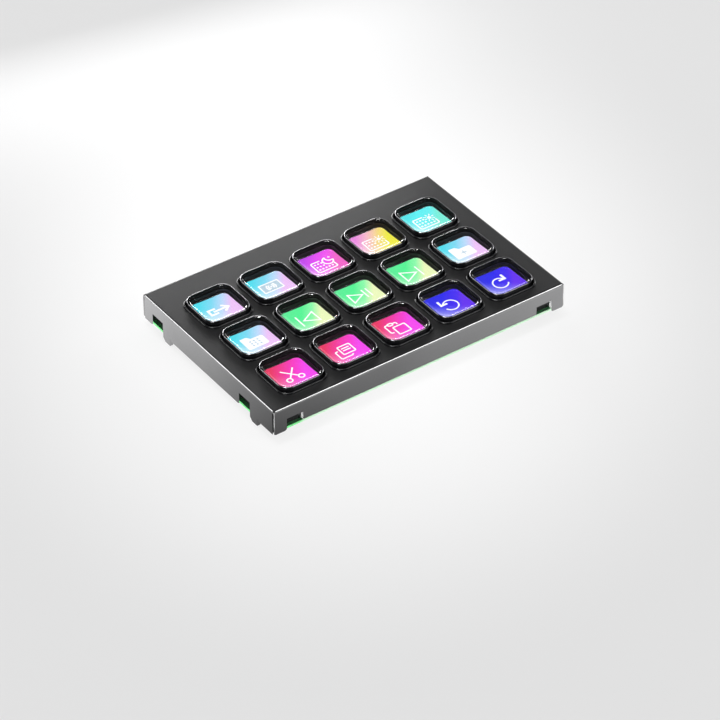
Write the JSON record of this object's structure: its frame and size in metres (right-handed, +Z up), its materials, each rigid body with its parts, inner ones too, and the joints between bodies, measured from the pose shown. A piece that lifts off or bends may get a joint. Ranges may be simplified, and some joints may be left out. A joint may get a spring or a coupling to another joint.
{
  "type": "display key module",
  "caption": "Low folded sheet-metal key module with clear square keys over small lit displays, in a five by three grid.",
  "frame": {"origin": "middle of the module's plan at the height of the hanging tabs' tips, which it stands on", "axes": "+X along the rows of five keys, +Y from the front row to the back row, +Z up through the key tops"},
  "size_m": [0.112, 0.0732, 0.0134],
  "materials": {
    "cover_metal": "black satin coat on the top, bare grey brushed walls",
    "guide_plastic": "gloss black moulding",
    "dome_rubber": "translucent silicone",
    "dark_board": "dark solder mask",
    "carrier_plastic": "matte black moulding",
    "connector_plastic": "ivory moulding",
    "green_board": "light green solder mask",
    "socket_steel": "drawn sheet steel",
    "tongue_plastic": "matte black moulding",
    "chip_epoxy": "moulded epoxy",
    "passive_ceramic": "ceramic with tinned ends",
    "standoff_brass": "turned brass",
    "screw_steel": "zinc plated steel",
    "display_glass": "black framed display glass, lit pictures",
    "cap_clear": "clear polished moulding with dark sides"
  },
  "bodies": {
    "base": {"top_cover": "cover_metal", "guide_frame": "guide_plastic", "dome_sheet": "dome_rubber", "switch_board": "dark_board", "display_carrier": "carrier_plastic", "board_link": "connector_plastic", "main_board": "green_board", "usb_shell": "socket_steel", "usb_tongue": "tongue_plastic", "processor_chip": "chip_epoxy", "memory_chip": "chip_epoxy", "board_passives": "passive_ceramic", "clamp_standoffs": "standoff_brass", "mount_standoffs": "standoff_brass", "clamp_screws": "screw_steel", "dome_01": "dome_rubber", "dome_02": "dome_rubber", "dome_03": "dome_rubber", "dome_04": "dome_rubber", "dome_05": "dome_rubber", "dome_06": "dome_rubber", "dome_07": "dome_rubber", "dome_08": "dome_rubber", "dome_09": "dome_rubber", "dome_10": "dome_rubber", "dome_11": "dome_rubber", "dome_12": "dome_rubber", "dome_13": "dome_rubber", "dome_14": "dome_rubber", "dome_15": "dome_rubber", "display_01": "display_glass", "display_02": "display_glass", "display_03": "display_glass", "display_04": "display_glass", "display_05": "display_glass", "display_06": "display_glass", "display_07": "display_glass", "display_08": "display_glass", "display_09": "display_glass", "display_10": "display_glass", "display_11": "display_glass", "display_12": "display_glass", "display_13": "display_glass", "display_14": "display_glass", "display_15": "display_glass"},
    "key_01": {"key_cap_01": "cap_clear"},
    "key_02": {"key_cap_02": "cap_clear"},
    "key_03": {"key_cap_03": "cap_clear"},
    "key_04": {"key_cap_04": "cap_clear"},
    "key_05": {"key_cap_05": "cap_clear"},
    "key_06": {"key_cap_06": "cap_clear"},
    "key_07": {"key_cap_07": "cap_clear"},
    "key_08": {"key_cap_08": "cap_clear"},
    "key_09": {"key_cap_09": "cap_clear"},
    "key_10": {"key_cap_10": "cap_clear"},
    "key_11": {"key_cap_11": "cap_clear"},
    "key_12": {"key_cap_12": "cap_clear"},
    "key_13": {"key_cap_13": "cap_clear"},
    "key_14": {"key_cap_14": "cap_clear"},
    "key_15": {"key_cap_15": "cap_clear"}
  },
  "joints": [
    {"name": "key_01_press", "type": "slide", "parent": "base", "child": "key_01", "axis": [0, 0, 1], "range_m": [-0.0009, 0], "stiffness_N_per_m": 520, "springref_m": 0.0002, "deforming": ["dome_01"]},
    {"name": "key_02_press", "type": "slide", "parent": "base", "child": "key_02", "axis": [0, 0, 1], "range_m": [-0.0009, 0], "stiffness_N_per_m": 520, "springref_m": 0.0002, "deforming": ["dome_02"]},
    {"name": "key_03_press", "type": "slide", "parent": "base", "child": "key_03", "axis": [0, 0, 1], "range_m": [-0.0009, 0], "stiffness_N_per_m": 520, "springref_m": 0.0002, "deforming": ["dome_03"]},
    {"name": "key_04_press", "type": "slide", "parent": "base", "child": "key_04", "axis": [0, 0, 1], "range_m": [-0.0009, 0], "stiffness_N_per_m": 520, "springref_m": 0.0002, "deforming": ["dome_04"]},
    {"name": "key_05_press", "type": "slide", "parent": "base", "child": "key_05", "axis": [0, 0, 1], "range_m": [-0.0009, 0], "stiffness_N_per_m": 520, "springref_m": 0.0002, "deforming": ["dome_05"]},
    {"name": "key_06_press", "type": "slide", "parent": "base", "child": "key_06", "axis": [0, 0, 1], "range_m": [-0.0009, 0], "stiffness_N_per_m": 520, "springref_m": 0.0002, "deforming": ["dome_06"]},
    {"name": "key_07_press", "type": "slide", "parent": "base", "child": "key_07", "axis": [0, 0, 1], "range_m": [-0.0009, 0], "stiffness_N_per_m": 520, "springref_m": 0.0002, "deforming": ["dome_07"]},
    {"name": "key_08_press", "type": "slide", "parent": "base", "child": "key_08", "axis": [0, 0, 1], "range_m": [-0.0009, 0], "stiffness_N_per_m": 520, "springref_m": 0.0002, "deforming": ["dome_08"]},
    {"name": "key_09_press", "type": "slide", "parent": "base", "child": "key_09", "axis": [0, 0, 1], "range_m": [-0.0009, 0], "stiffness_N_per_m": 520, "springref_m": 0.0002, "deforming": ["dome_09"]},
    {"name": "key_10_press", "type": "slide", "parent": "base", "child": "key_10", "axis": [0, 0, 1], "range_m": [-0.0009, 0], "stiffness_N_per_m": 520, "springref_m": 0.0002, "deforming": ["dome_10"]},
    {"name": "key_11_press", "type": "slide", "parent": "base", "child": "key_11", "axis": [0, 0, 1], "range_m": [-0.0009, 0], "stiffness_N_per_m": 520, "springref_m": 0.0002, "deforming": ["dome_11"]},
    {"name": "key_12_press", "type": "slide", "parent": "base", "child": "key_12", "axis": [0, 0, 1], "range_m": [-0.0009, 0], "stiffness_N_per_m": 520, "springref_m": 0.0002, "deforming": ["dome_12"]},
    {"name": "key_13_press", "type": "slide", "parent": "base", "child": "key_13", "axis": [0, 0, 1], "range_m": [-0.0009, 0], "stiffness_N_per_m": 520, "springref_m": 0.0002, "deforming": ["dome_13"]},
    {"name": "key_14_press", "type": "slide", "parent": "base", "child": "key_14", "axis": [0, 0, 1], "range_m": [-0.0009, 0], "stiffness_N_per_m": 520, "springref_m": 0.0002, "deforming": ["dome_14"]},
    {"name": "key_15_press", "type": "slide", "parent": "base", "child": "key_15", "axis": [0, 0, 1], "range_m": [-0.0009, 0], "stiffness_N_per_m": 520, "springref_m": 0.0002, "deforming": ["dome_15"]}
  ]
}
